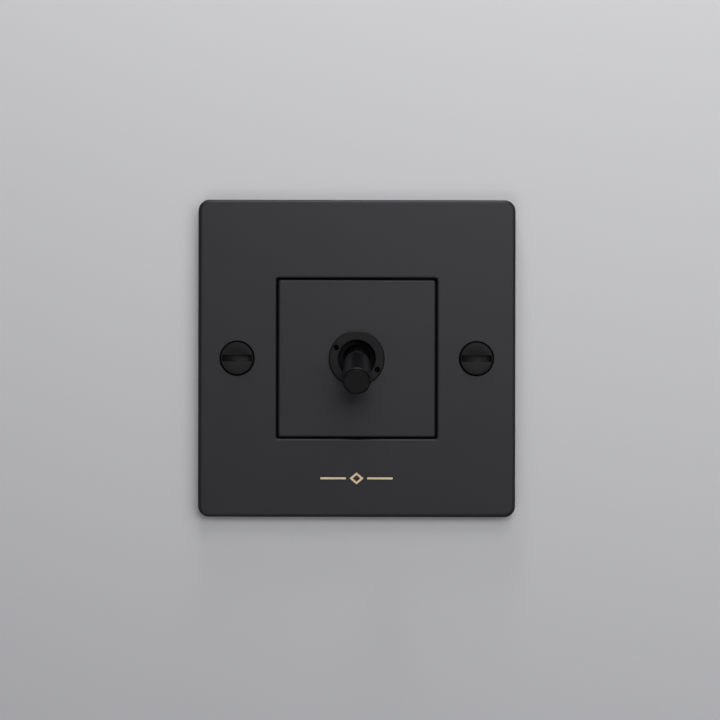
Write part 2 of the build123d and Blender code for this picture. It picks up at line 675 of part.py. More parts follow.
# ---- upper_terminal and lower_terminal: the two outgoing strips ------------------
strip_length = POCKET_END - 2 * BLOCK_END_GAP - STRIP_INNER_END
strip_middle = STRIP_INNER_END + strip_length / 2

with BuildPart() as upper_terminal:
    with BuildSketch(facing_room(CHAMBER_FLOOR)):
        with Locations((0, strip_middle)):
            Rectangle(STRIP_WIDTH, strip_length)
    extrude(amount=STRIP_THICK)
save(upper_terminal, "upper_terminal")

with BuildPart() as lower_terminal:
    with BuildSketch(facing_room(CHAMBER_FLOOR)):
        with Locations((0, -strip_middle)):
            Rectangle(STRIP_WIDTH, strip_length)
    extrude(amount=STRIP_THICK)
save(lower_terminal, "lower_terminal")

# ---- fixed_contacts: silver buttons on the outgoing strips -----------------------
with BuildPart() as fixed_contacts:
    with BuildSketch(facing_room(STRIP_FRONT)):
        with GridLocations(0, 2 * FIXED_CONTACT_Z, 1, 2):
            Circle(CONTACT_D / 2)
    extrude(amount=STRIP_FRONT - FIXED_CONTACT_FRONT)
save(fixed_contacts, "fixed_contacts")

# ---- terminal_blocks: three brass clamps with their wire bores -------------------
with BuildPart() as terminal_blocks:
    with BuildSketch(facing_room(POCKET_FLOOR)):
        with Locations((0, block_middle), (0, -block_middle)):
            Rectangle(BLOCK_WIDTH, BLOCK_LENGTH)
        with Locations((side_block_middle, 0)):
            Rectangle(BLOCK_LENGTH, BLOCK_WIDTH)
    extrude(amount=POCKET_FLOOR - CHAMBER_FLOOR)
    with BuildSketch(Plane.XY):
        with Locations((0, WIRE_BORE_Y)):
            Circle(WIRE_BORE_D / 2)
    extrude(amount=BODY_HEIGHT / 2, both=True, mode=Mode.SUBTRACT)
    with BuildSketch(Plane.YZ):
        with Locations((WIRE_BORE_Y, 0)):
            Circle(WIRE_BORE_D / 2)
    extrude(amount=BODY_WIDTH / 2, mode=Mode.SUBTRACT)
    with BuildSketch(facing_room(POCKET_FLOOR)):
        with Locations(*block_places):
            Circle(CLAMP_SCREW_D / 2)
    extrude(amount=POCKET_FLOOR - WIRE_BORE_Y, mode=Mode.SUBTRACT)
save(terminal_blocks, "terminal_blocks")

# ---- terminal_screws -------------------------------------------------------------
terminal_screws = clamp_screws(block_places, POCKET_FLOOR, CLAMP_SCREW_TIP)
save(terminal_screws, "terminal_screws")
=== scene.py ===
import math

import bmesh
import bpy
from mathutils import Matrix, Vector


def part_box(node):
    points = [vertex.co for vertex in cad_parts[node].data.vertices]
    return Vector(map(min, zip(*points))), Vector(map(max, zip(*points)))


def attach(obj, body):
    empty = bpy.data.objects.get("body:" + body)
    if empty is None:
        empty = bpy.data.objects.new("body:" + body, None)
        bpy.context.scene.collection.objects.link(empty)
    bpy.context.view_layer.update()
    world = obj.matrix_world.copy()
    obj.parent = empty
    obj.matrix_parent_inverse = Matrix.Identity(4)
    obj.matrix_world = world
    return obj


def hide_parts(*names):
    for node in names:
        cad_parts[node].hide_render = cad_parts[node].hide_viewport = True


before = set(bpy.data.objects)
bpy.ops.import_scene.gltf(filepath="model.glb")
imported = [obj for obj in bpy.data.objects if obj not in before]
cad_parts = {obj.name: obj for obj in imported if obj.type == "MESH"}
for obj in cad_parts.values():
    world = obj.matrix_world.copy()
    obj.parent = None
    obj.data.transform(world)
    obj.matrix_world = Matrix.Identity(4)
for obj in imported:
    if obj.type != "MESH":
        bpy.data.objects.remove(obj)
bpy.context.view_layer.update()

MM = 0.001
SCENE = bpy.context.scene


# ---- node trees: arithmetic on sockets, and one method for every other node -------
class Value:
    """A socket of a node tree. Arithmetic on it adds Math nodes."""

    def __init__(self, tree, socket):
        self.tree = tree
        self.socket = socket

    def __add__(self, other):
        return self.tree.maths("ADD", self, other)

    def __radd__(self, other):
        return self.tree.maths("ADD", other, self)

    def __sub__(self, other):
        return self.tree.maths("SUBTRACT", self, other)

    def __rsub__(self, other):
        return self.tree.maths("SUBTRACT", other, self)

    def __mul__(self, other):
        return self.tree.maths("MULTIPLY", self, other)

    def __rmul__(self, other):
        return self.tree.maths("MULTIPLY", other, self)

    def __truediv__(self, other):
        return self.tree.maths("DIVIDE", self, other)

    def __abs__(self):
        return self.tree.maths("ABSOLUTE", self)

    def __mod__(self, other):
        return self.tree.maths("FLOORED_MODULO", self, other)

    def least(self, other):
        return self.tree.maths("MINIMUM", self, other)

    def most(self, other):
        return self.tree.maths("MAXIMUM", self, other)

    def root(self):
        return self.tree.maths("SQRT", self)

    def sine(self):
        return self.tree.maths("SINE", self)

    def above(self, edge):
        return self.tree.maths("GREATER_THAN", self, edge)

    def below(self, edge):
        return self.tree.maths("LESS_THAN", self, edge)

    def rise(self, low, high):
        """0 up to low, 1 from high on, and smooth between them."""
        settings = {"interpolation_type": "SMOOTHSTEP"}
        inputs = {"Value": self, "From Min": low, "From Max": high}
        return self.tree.out(self.tree.add("ShaderNodeMapRange", settings, inputs), "Result")


class Tree:
    """A node tree under construction."""

    def __init__(self, node_tree):
        self.nodes = node_tree.nodes
        self.links = node_tree.links

    def feed(self, socket, value):
        """Link a Value or a socket to an input, or set the input's own number."""
        if isinstance(value, Value):
            value = value.socket
        if isinstance(value, bpy.types.NodeSocket):
            self.links.new(value, socket)
        elif value is not None:
            socket.default_value = value

    def add(self, kind, settings=None, inputs=None):
        """Add a node: its settings first, then the values or links of its sockets."""
        node = self.nodes.new(kind)
        for name, value in (settings or {}).items():
            setattr(node, name, value)
        for key, value in (inputs or {}).items():
            self.feed(node.inputs[key], value)
        return node

    def out(self, node, name=0):
        return Value(self, node.outputs[name])

    def maths(self, operation, *values):
        settings = {"operation": operation}
        return self.out(self.add("ShaderNodeMath", settings, dict(enumerate(values))))


class Finish(Tree):
    """A procedural material. Its patterns are laid out in millimetres of the row frame."""

    def __init__(self, name, base, roughness, metallic=0.0, gloss=0.5):
        self.material = bpy.data.materials.new(name)
        self.material.use_nodes = True
        super().__init__(self.material.node_tree)
        self.shader = self.nodes["Principled BSDF"]
        self.set("Base Color", (*base, 1.0))
        self.set("Roughness", roughness)
        self.set("Metallic", metallic)
        self.set("Specular IOR Level", gloss)
        place = self.add("ShaderNodeTexCoord").outputs["Object"]
        scaled = self.add("ShaderNodeVectorMath", {"operation": "SCALE"}, {0: place, "Scale": 1 / MM})
        self.place = scaled.outputs[0]
        split = self.add("ShaderNodeSeparateXYZ", None, {0: self.place})
        self.x = self.out(split, "X")
        self.y = self.out(split, "Y")
        self.z = self.out(split, "Z")

    def set(self, socket, value):
        self.feed(self.shader.inputs[socket], value)

    def noise(self, per_mm, detail=2.0, roughness=0.5, stretch=None, seed=0.0):
        """Noise from 0 to 1, at a number of grains per millimetre, stretched along the axes."""
        place = self.place
        if stretch is not None:
            settings = {"operation": "MULTIPLY"}
            place = self.add("ShaderNodeVectorMath", settings, {0: place, 1: stretch}).outputs[0]
        settings = {"noise_dimensions": "4D"}
        inputs = {"Vector": place, "W": seed, "Scale": per_mm, "Detail": detail, "Roughness": roughness}
        return self.out(self.add("ShaderNodeTexNoise", settings, inputs), "Fac")

    def cells(self, per_mm):
        """Distance from the middle of each cell of an irregular cell pattern."""
        inputs = {"Vector": self.place, "Scale": per_mm}
        return self.out(self.add("ShaderNodeTexVoronoi", None, inputs), "Distance")

    def blend(self, factor, low, high):
        """A colour between two colours. Each is three numbers or another blend."""
        node = self.add("ShaderNodeMix", {"data_type": "RGBA"})
        self.feed(node.inputs["Factor"], factor)
        for socket, colour in ((node.inputs[6], low), (node.inputs[7], high)):
            self.feed(socket, (*colour, 1.0) if isinstance(colour, tuple) else colour)
        return node.outputs[2]

    def bump(self, height, depth_mm, strength=1.0, edge_mm=0.0):
        """Bump from a height of 0 to 1, over edges rounded in shading by edge_mm."""
        under = None
        if edge_mm:
            settings = {"samples": 6}
            under = self.add("ShaderNodeBevel", settings, {"Radius": edge_mm * MM}).outputs[0]
        inputs = {"Strength": strength, "Distance": depth_mm * MM, "Height": height, "Normal": under}
        self.set("Normal", self.add("ShaderNodeBump", None, inputs).outputs[0])

    def round_from(self, centre_x, centre_z):
        """Distance in millimetres from an axis square to the wall."""
        across = self.x - centre_x
        up = self.z - centre_z
        return (across * across + up * up).root()


def dress(material, *nodes):
    """Give CAD nodes a finish."""
    for node in nodes:
        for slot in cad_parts[node].material_slots:
            slot.material = material


# ---- geometry: spun shells, and trees that cut and copy ---------------------------
class Shape(Tree):
    """A Geometry Nodes tree from Geometry to Geometry, with named inputs."""

    def __init__(self, name, sizes):
        self.group = bpy.data.node_groups.new(name, "GeometryNodeTree")
        super().__init__(self.group)
        face = self.group.interface
        face.new_socket("Geometry", in_out="INPUT", socket_type="NodeSocketGeometry")
        face.new_socket("Geometry", in_out="OUTPUT", socket_type="NodeSocketGeometry")
        self.keys = {}
        for label, value in sizes.items():
            kind = "NodeSocketInt" if isinstance(value, int) else "NodeSocketFloat"
            made = face.new_socket(label, in_out="INPUT", socket_type=kind)
            made.default_value = value
            self.keys[label] = made.identifier
        self.start = self.nodes.new("NodeGroupInput")
        self.end = self.nodes.new("NodeGroupOutput")

    def size(self, label):
        return Value(self, self.start.outputs[label])

    def close(self, geometry, material):
        """Realize the instances, give them the finish and end the tree."""
        real = self.add("GeometryNodeRealizeInstances", None, {0: geometry})
        inputs = {"Geometry": real.outputs[0], "Material": material}
        done = self.add("GeometryNodeSetMaterial", None, inputs)
        self.feed(self.end.inputs[0], done.outputs[0])

    def bake(self, name, mesh, sizes=None):
        """Run the tree on a mesh and return a plain mesh object with no modifier."""
        source = bpy.data.objects.new(name + "_source", mesh)
        SCENE.collection.objects.link(source)
        modifier = source.modifiers.new("shape", "NODES")
        modifier.node_group = self.group
        for label, value in (sizes or {}).items():
            modifier[self.keys[label]] = value
        graph = bpy.context.evaluated_depsgraph_get()
        made = bpy.data.meshes.new_from_object(source.evaluated_get(graph), depsgraph=graph)
        source.modifiers.clear()
        bpy.data.objects.remove(source)
        return piece(name, made)


def piece(name, mesh):
    """An object at the origin whose place is in its mesh."""
    mesh.name = name
    made = bpy.data.objects.new(name, mesh)
    SCENE.collection.objects.link(made)
    return made


def spun(profile, steps, turned=None):
    """A closed shell from a profile of (radius, height) points in millimetres, about Z."""
    shell = bmesh.new()
    rings = []
    for radius, height in profile:
        if radius == 0:
            rings.append([shell.verts.new((0, 0, height * MM))] * steps)
            continue
        ring = []
        for step in range(steps):
            angle = 2 * math.pi * step / steps
            place = (radius * MM * math.cos(angle), radius * MM * math.sin(angle), height * MM)
            ring.append(shell.verts.new(place))
        rings.append(ring)
    closed = profile[0][0] != 0
    pairs = list(zip(rings, rings[1:] + rings[:1]))
    for low, high in pairs if closed else pairs[:-1]:
        for step in range(steps):
            after = (step + 1) % steps
            corners = (low[step], low[after], high[after], high[step])
            face = shell.faces.new(list(dict.fromkeys(corners)))
            face.smooth = abs(low[step].co.z - high[step].co.z) > 1e-7
    bmesh.ops.recalc_face_normals(shell, faces=shell.faces)
    mesh = bpy.data.meshes.new("spun")
    if turned is not None:
        bmesh.ops.transform(shell, matrix=turned, verts=shell.verts)
    shell.to_mesh(mesh)
    shell.free()
    return mesh


def arc(centre, radius, start, end, steps):
    """Points of an arc, with its angles in degrees."""
    angles = [math.radians(start + (end - start) * i / steps) for i in range(steps + 1)]
    return [(centre[0] + radius * math.cos(a), centre[1] + radius * math.sin(a)) for a in angles]


CRISP_ANGLE = math.radians(32)


def seat(made, body, node):
    """Put a finished piece on its body, in place of the CAD node that it stands for."""
    made.data.set_sharp_from_angle(angle=CRISP_ANGLE)
    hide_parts(node)
    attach(made, body)


def groove_cutter(material):
    """Helical V grooves on a spun shell about Z, cut one way or both ways across."""
    sizes = {
        "Starts": 1.0,
        "Lead": 0.6,
        "Depth": 0.3,
        "Crest": 0.1,
        "Cross Cut": 0.0,
        "From": 0.0,
        "To": 10.0,
        "Run Out": 0.5,
    }
    shape = Shape("groove_cutter", sizes)
    place = shape.add("GeometryNodeInputPosition").outputs[0]
    split = shape.add("ShaderNodeSeparateXYZ", None, {0: place})
    x, y, z = (shape.out(split, axis) / MM for axis in "XYZ")
    radius = (x * x + y * y).root()
    turn = shape.maths("ARCTAN2", y, x) / (2 * math.pi)
    along = z / shape.size("Lead")

    def groove(phase):
        to_crest = abs((phase % 1.0) * 2.0 - 1.0)
        return ((to_crest - shape.size("Crest")) / (1.0 - shape.size("Crest"))).most(0.0)

    one_way = groove(turn * shape.size("Starts") + along)
    other_way = groove(turn * shape.size("Starts") - along) * shape.size("Cross Cut")
    inside = z.above(shape.size("From")) * z.below(shape.size("To"))
    run_in = ((z - shape.size("From")) / shape.size("Run Out")).least(1.0).most(0.0)
    run_out = ((shape.size("To") - z) / shape.size("Run Out")).least(1.0).most(0.0)
    cut = one_way.most(other_way) * shape.size("Depth") * inside * run_in * run_out
    inward = (radius - cut) / radius.most(0.001)
    factor = shape.add("ShaderNodeCombineXYZ", None, {0: inward, 1: inward, 2: 1.0})
    moved = shape.add("ShaderNodeVectorMath", {"operation": "MULTIPLY"}, {0: place, 1: factor.outputs[0]})
    outside = shape.add("GeometryNodeInputNamedAttribute", {"data_type": "FLOAT"}, {"Name": "cut_here"})
    inputs = {
        "Geometry": shape.start.outputs["Geometry"],
        "Selection": shape.out(outside).above(0.5),
        "Position": moved.outputs[0],
    }
    result = shape.add("GeometryNodeSetPosition", None, inputs)
    shape.close(result.outputs[0], material)
    return shape


def mark_outside(mesh, low, high):
    """Mark the points that the groove cutter may move: those between two radii."""
    named = mesh.attributes.new("cut_here", "FLOAT", "POINT")
    for vertex, value in zip(mesh.vertices, named.data):
        radius = math.hypot(vertex.co.x, vertex.co.y) / MM
        value.value = float(low <= radius <= high)


def setting_out(material):
    """Copies of a piece on a grid of columns along X and rows along Z."""
    sizes = {"Columns": 2, "Rows": 1, "Column Pitch": 0.06, "Row Pitch": 0.0}
    shape = Shape("setting_out", sizes)
    lines = []
    for count, pitch, axis in (("Columns", "Column Pitch", 0), ("Rows", "Row Pitch", 2)):
        step = shape.add("ShaderNodeCombineXYZ", None, {axis: shape.size(pitch)})
        reach = (shape.size(count) - 1.0) * shape.size(pitch) / -2.0
        first = shape.add("ShaderNodeCombineXYZ", None, {axis: reach})
        inputs = {"Count": shape.size(count), "Start Location": first.outputs[0], "Offset": step.outputs[0]}
        lines.append(shape.add("GeometryNodeMeshLine", None, inputs).outputs[0])
    places = shape.add("GeometryNodeInstanceOnPoints", None, {"Points": lines[0], "Instance": lines[1]})
    real = shape.add("GeometryNodeRealizeInstances", None, {0: places.outputs[0]})
    inputs = {"Points": real.outputs[0], "Instance": shape.start.outputs["Geometry"]}
    copies = shape.add("GeometryNodeInstanceOnPoints", None, inputs)
    shape.close(copies.outputs[0], material)
    return shape


def coil(material):
    """A compression spring about Z, wound at an even pitch."""
    sizes = {"Wire": 0.4, "Middle Radius": 1.0, "Length": 3.0, "Turns": 7.0}
    shape = Shape("coil_spring", sizes)
    inputs = {
        "Resolution": 24,
        "Rotations": shape.size("Turns"),
        "Start Radius": shape.size("Middle Radius") * MM,
        "End Radius": shape.size("Middle Radius") * MM,
        "Height": (shape.size("Length") - shape.size("Wire")) * MM,
    }
    spiral = shape.add("GeometryNodeCurveSpiral", None, inputs)
    wire = {"Resolution": 10, "Radius": shape.size("Wire") * (MM / 2)}
    section = shape.add("GeometryNodeCurvePrimitiveCircle", None, wire)
    inputs = {"Curve": spiral.outputs[0], "Profile Curve": section.outputs[0], "Fill Caps": True}
    swept = shape.add("GeometryNodeCurveToMesh", None, inputs)
    shape.close(swept.outputs[0], material)
    return shape


# ---- the lever: along its axis from the pivot, in millimetres ---------------------
GRIP_R = 3.45
GRIP_REAR = 5.75
GRIP_TIP = 22.0
STEM_R = 2.12
STEM_TIP = 16.0
TIP_CHAMFER = 0.3
END_RING_BACK = 0.35
END_GROOVE = 0.14
END_GROOVE_DEPTH = 0.3
END_EDGE = 0.08
RING_LAND = 0.05
REAR_CHAMFER = 0.3
EDGE_BREAK = 0.02
KNURL_STARTS = 32
KNURL_CELL_STEPS = 8
KNURL_DEPTH = 0.24
KNURL_HELIX = math.radians(30)
KNURL_FROM = 6.2
KNURL_TO = 21.3
KNURL_CREST = 0.18
KNURL_RUN_OUT = 0.25
CREST_DEEP = 0.14
CREST_SHALLOW = 0.06
END_BLEND = 0.2
LEVER_LEAN = math.radians(15.0)
PIVOT_Y = -1.65
LEVER_TURN = Matrix.Translation((0, PIVOT_Y * MM, 0)) @ Matrix.Rotation(math.pi / 2 + LEVER_LEAN, 4, "X")


# ---- finishes ---------------------------------------------------------------------
PLATE_BLACK = (0.016, 0.0144, 0.0172)
# painted shade: the near black given to recesses and hidden faces behind the plate, standing in for their
# shadow
SHADE_PAINT_BLACK = (0.001, 0.001, 0.001)
GAP_SHADE_FROM = -4.7
GAP_SHADE_DEEP = -4.3
MARK_BRASS = (0.66, 0.52, 0.36)
MARK_Z = -30.2
MARK_DASH = 6.4
MARK_GAP = 2.7
MARK_HEIGHT = 0.5
MARK_BACK_LIMIT = -4.8
DIAMOND_INNER = 0.85
DIAMOND_OUTER = 1.5
DIAMOND_SQUASH = 0.85


def coated_plate(name, etched):
    """Fine matt black coating, with painted shade in the gaps behind the face, and an etched mark if asked.

    The mark is a dash, a diamond ring and a dash in pale brass.
    """
    finish = Finish(name, PLATE_BLACK, 0.45, gloss=0.25)
    grain = finish.noise(9.0, 2.0, 0.6)
    cloud = finish.noise(0.06, 3.0, 0.55, seed=3.0)
    tone = finish.blend(cloud.rise(0.3, 0.7), (0.0152, 0.0136, 0.0164), (0.0169, 0.0152, 0.0182))
    rough = 0.37 + grain * 0.06 + cloud * 0.05
    # painted shade: behind the face, round the module, the coating turns near black where the gap lies in
    # shadow
    gap_shade = finish.y.rise(GAP_SHADE_FROM, GAP_SHADE_DEEP)
    tone = finish.blend(gap_shade, tone, SHADE_PAINT_BLACK)
    rough = rough + gap_shade * 0.5
    if etched:
        across = abs(finish.x)
        up = abs(finish.z - MARK_Z)
        dash = across.above(MARK_GAP) * across.below(MARK_GAP + MARK_DASH) * up.below(MARK_HEIGHT / 2)
        reach = across * DIAMOND_SQUASH + up
        diamond = reach.below(DIAMOND_OUTER) * reach.above(DIAMOND_INNER)
        mark = dash.most(diamond) * finish.y.below(MARK_BACK_LIMIT)
        tone = finish.blend(mark, tone, MARK_BRASS)
        rough = rough - mark * 0.05
        finish.set("Metallic", mark * 0.4)
    finish.set("Base Color", tone)
    finish.set("Roughness", rough)
    finish.bump(grain, 0.004, 0.6, edge_mm=0.12)
    return finish.material


def turned_black(name, base, roughness, places, ring_mm=0.16, gloss=0.155, holes=None):
    """Satin black over lathe-turned metal, with faint rings round each axis, and painted shade in the
    holes.
    """
    finish = Finish(name, base, roughness, gloss=gloss)
    radius = finish.round_from(*places[0])
    for place in places[1:]:
        radius = radius.least(finish.round_from(*place))
    wobble = finish.noise(1.2, 2.0, 0.5)
    rings = (radius * (2 * math.pi / ring_mm) + wobble * 2.0).sine() * 0.5 + 0.5
    grain = finish.noise(14.0, 2.0, 0.6)
    dark = tuple(0.9 * part for part in base)
    light = tuple(1.12 * part for part in base)
    tone = finish.blend(grain, dark, light)
    rough = roughness - 0.03 + grain * 0.06 + rings * 0.02
    if holes is not None:
        # painted shade: the walls picked out by holes turn black, standing in for the shadow in the bore
        # and pin holes
        inside = holes(finish)
        tone = finish.blend(inside, tone, (0.0, 0.0, 0.0))
        rough = rough.most(inside)
    finish.set("Base Color", tone)
    finish.set("Roughness", rough)
    finish.bump(rings * 0.6 + grain * 0.4, 0.003, 0.7, edge_mm=0.08)
    return finish.material


def knurled_black():
    """Black on the grip: satin knurl crests, grooves with painted shade, a matt end, and a matt rear rim
    with painted shade.
    """
    finish = Finish("knurled_black", (0.003, 0.003, 0.0034), 0.3, gloss=0.2)
    grain = finish.noise(12.0, 2.0, 0.6)
    rub = finish.noise(0.7, 3.0, 0.6, seed=5.0)
    along = (finish.y - PIVOT_Y) * -math.cos(LEVER_LEAN) - finish.z * math.sin(LEVER_LEAN)
    sideways = finish.z * math.cos(LEVER_LEAN) - (finish.y - PIVOT_Y) * math.sin(LEVER_LEAN)
    radius = (finish.x * finish.x + sideways * sideways).root()
    crest = radius.rise(GRIP_R - CREST_DEEP, GRIP_R - CREST_SHALLOW)
    plain_end = along.rise(GRIP_TIP - END_BLEND, GRIP_TIP - END_BLEND / 2)
    rear_rim_shade = 1.0 - along.rise(KNURL_FROM, KNURL_FROM + REAR_CHAMFER)
    tone = finish.blend(rub.rise(0.35, 0.75), (0.009, 0.0093, 0.012), (0.013, 0.0134, 0.017))
    # painted shade: the knurl's grooves are near black, darker than the crests, standing in for their
    # shadow
    tone = finish.blend(crest, (0.0006, 0.0006, 0.0007), tone)
    tone = finish.blend(plain_end, tone, (0.006, 0.006, 0.006))
    # painted shade: the rear rim inside the bezel's bore is near black, standing in for the bore's shadow
    tone = finish.blend(rear_rim_shade, tone, (0.001, 0.001, 0.001))
    finish.set("Base Color", tone)
    matt = plain_end.most(rear_rim_shade) * 0.34
    finish.set("Roughness", 0.36 - crest * 0.1 + matt + grain * 0.06 + rub * 0.04)
    finish.bump(grain, 0.003, 0.5)
    return finish.material


def plated_steel(name, base, roughness, stretch=(1.0, 1.0, 1.0)):
    """Zinc-plated steel: soft spangle, rolling lines and small stains."""
    finish = Finish(name, base, roughness, metallic=1.0)
    lines = finish.noise(5.0, 3.0, 0.6, stretch=stretch)
    spangle = finish.cells(0.7)
    stain = finish.noise(0.12, 4.0, 0.6, seed=2.0)
    dark = tuple(0.72 * part for part in base)
    shade = spangle * 0.35 + lines * 0.4 + stain * 0.4
    finish.set("Base Color", finish.blend(shade.rise(0.25, 0.85), dark, base))
    finish.set("Roughness", roughness - 0.08 + lines * 0.16 + stain.rise(0.45, 0.7) * 0.12)
    finish.bump(lines * 0.7 + spangle * 0.3, 0.004, 0.6, edge_mm=0.1)
    return finish.material


def worked_brass():
    """Pressed and milled brass, slightly tarnished."""
    finish = Finish("worked_brass", (0.70, 0.50, 0.22), 0.3, metallic=1.0)
    lines = finish.noise(7.0, 3.0, 0.6, stretch=(0.15, 1.0, 1.0))
    tarnish = finish.noise(0.35, 4.0, 0.6, seed=4.0)
    tone = finish.blend(tarnish.rise(0.4, 0.75), (0.74, 0.54, 0.25), (0.48, 0.32, 0.14))
    finish.set("Base Color", tone)
    finish.set("Roughness", 0.22 + lines * 0.14 + tarnish.rise(0.4, 0.8) * 0.15)
    finish.bump(lines, 0.003, 0.6, edge_mm=0.08)
    return finish.material


def contact_silver():
    """Silver contact alloy with a faint grey bloom."""
    finish = Finish("contact_silver", (0.80, 0.79, 0.76), 0.3, metallic=1.0)
    bloom = finish.noise(1.5, 3.0, 0.6)
    finish.set("Base Color", finish.blend(bloom.rise(0.35, 0.7), (0.84, 0.83, 0.80), (0.55, 0.54, 0.52)))
    finish.set("Roughness", 0.22 + bloom * 0.2)
    finish.bump(finish.noise(12.0), 0.002, 0.5, edge_mm=0.06)
    return finish.material


def moulding(name, base, roughness, glaze=0.0, grain_mm=0.006, gloss=0.5, front=None):
    """Moulded plastic with a spark-eroded grain, flow marks and soft edges, and painted shade (near black)
    on all that lies in front of the depth front.
    """
    finish = Finish(name, base, roughness, gloss=gloss)
    spark = finish.noise(6.0, 3.0, 0.65)
    flow = finish.noise(0.08, 3.0, 0.6, stretch=(1.0, 0.4, 1.0), seed=6.0)
    dark = tuple(0.9 * part for part in base)
    light = tuple(min(1.0, 1.06 * part) for part in base)
    tone = finish.blend(flow.rise(0.3, 0.7), dark, light)
    rough = roughness - 0.05 + spark * 0.1 + flow * 0.04
    if front is not None:
        # painted shade: in front of the given depth the plastic turns near black, standing in for the
        # shadow in the gap behind the plate
        front_shade = 1.0 - finish.y.rise(front - 0.5, front)
        tone = finish.blend(front_shade, tone, SHADE_PAINT_BLACK)
        rough = rough + front_shade * 0.4
    finish.set("Base Color", tone)
    finish.set("Roughness", rough)
    finish.set("Coat Weight", glaze)
    finish.bump(spark, grain_mm, 0.6, edge_mm=0.15)
    return finish.material


def closed_cell_foam():
    """Black gasket foam with fine open pores on its cut faces."""
    finish = Finish("closed_cell_foam", (0.022, 0.022, 0.023), 0.85)
    pores = finish.cells(4.5)
    tone = finish.blend(pores.rise(0.1, 0.5), (0.012, 0.012, 0.012), (0.035, 0.035, 0.036))
    finish.set("Base Color", tone)
    finish.set("Roughness", 0.8 + pores * 0.15)
    finish.bump(pores, 0.03, 0.8)
    return finish.material


def drawn_wire():
    """Bright spring wire."""
    finish = Finish("drawn_wire", (0.56, 0.55, 0.54), 0.28, metallic=1.0)
    drawn = finish.noise(10.0, 2.0, 0.6)
    finish.set("Base Color", finish.blend(drawn, (0.45, 0.44, 0.43), (0.62, 0.61, 0.60)))
    finish.set("Roughness", 0.22 + drawn * 0.14)
    finish.bump(drawn, 0.002, 0.5)
    return finish.material


# ---- which finish each CAD node wears ---------------------------------------------
BEZEL_BORE_R = 4.6
BEZEL_FRONT = -6.1
BEZEL_CHAMFER = 0.12
PIN_HOLE_R = 0.7
PIN_HOLE_REACH = 5.875
PIN_HOLE_ANGLE = math.radians(151.8)


def bezel_hole_shade(finish):
    """Where shade is painted: 1 on the walls of the bezel's bore and of its two pin holes, and 0 elsewhere.
    """
    bore = finish.round_from(0, 0).below(BEZEL_BORE_R + 0.1)
    centre = (PIN_HOLE_REACH * math.cos(PIN_HOLE_ANGLE), PIN_HOLE_REACH * math.sin(PIN_HOLE_ANGLE))
    one = finish.round_from(*centre)
    other = finish.round_from(-centre[0], -centre[1])
    pins = one.least(other).below(PIN_HOLE_R + 0.02)
    return bore.most(pins) * finish.y.above(BEZEL_FRONT + BEZEL_CHAMFER)


SCREW_X = 30.15
# depth on the carrier in front of which its plastic carries painted shade
CARRIER_SHADE_TO = -1.6
TURNED_TONE = (0.0045, 0.0045, 0.0046)
turned_screws = turned_black("turned_screws", TURNED_TONE, 0.5, [(-SCREW_X, 0), (SCREW_X, 0)])
turned_bezel = turned_black("turned_bezel", TURNED_TONE, 0.5, [(0, 0)], holes=bezel_hole_shade)
# its near-black tone is partly the core's own black and partly painted shade, for the dark bore round the
# stem
turned_core_black_and_shade = turned_black("turned_core_black_and_shade", (0.002, 0.002, 0.002), 0.6, [(0, 0)], gloss=0.12)
zinc_sheet = plated_steel("zinc_sheet", (0.62, 0.63, 0.66), 0.4, (1.0, 1.0, 0.08))
zinc_screws = plated_steel("zinc_screws", (0.66, 0.67, 0.69), 0.3)
brass = worked_brass()
silver = contact_silver()
white_urea = moulding("white_urea", (0.74, 0.73, 0.70), 0.38, glaze=0.15)
black_nylon = moulding("black_nylon", (0.008, 0.008, 0.0083), 0.55, gloss=0.2, front=CARRIER_SHADE_TO)
# its near-black tone is partly the cover's own black and partly painted shade for the bottom of the bezel's
# bore
black_cover_and_shade = moulding("black_cover_and_shade", (0.003, 0.003, 0.003), 0.75, gloss=0.15)
natural_nylon = moulding("natural_nylon", (0.70, 0.67, 0.60), 0.42)

dress(coated_plate("coated_plate", True), "face_plate")
dress(coated_plate("coated_module", False), "module_face")
dress(turned_bezel, "toggle_bezel")
dress(turned_core_black_and_shade, "lever_core", "pivot_pin")
dress(zinc_sheet, "back_frame")
dress(zinc_screws, "frame_screws", "earth_screw", "terminal_screws")
dress(brass, "earth_terminal", "common_terminal", "upper_terminal", "lower_terminal")
dress(brass, "terminal_blocks", "rocker_contact")
dress(silver, "fixed_contacts", "moving_contacts")
dress(white_urea, "switch_base")
dress(black_nylon, "module_carrier")
dress(black_cover_and_shade, "switch_cover")
dress(natural_nylon, "screw_retainers", "plunger")
dress(closed_cell_foam(), "wall_gasket")


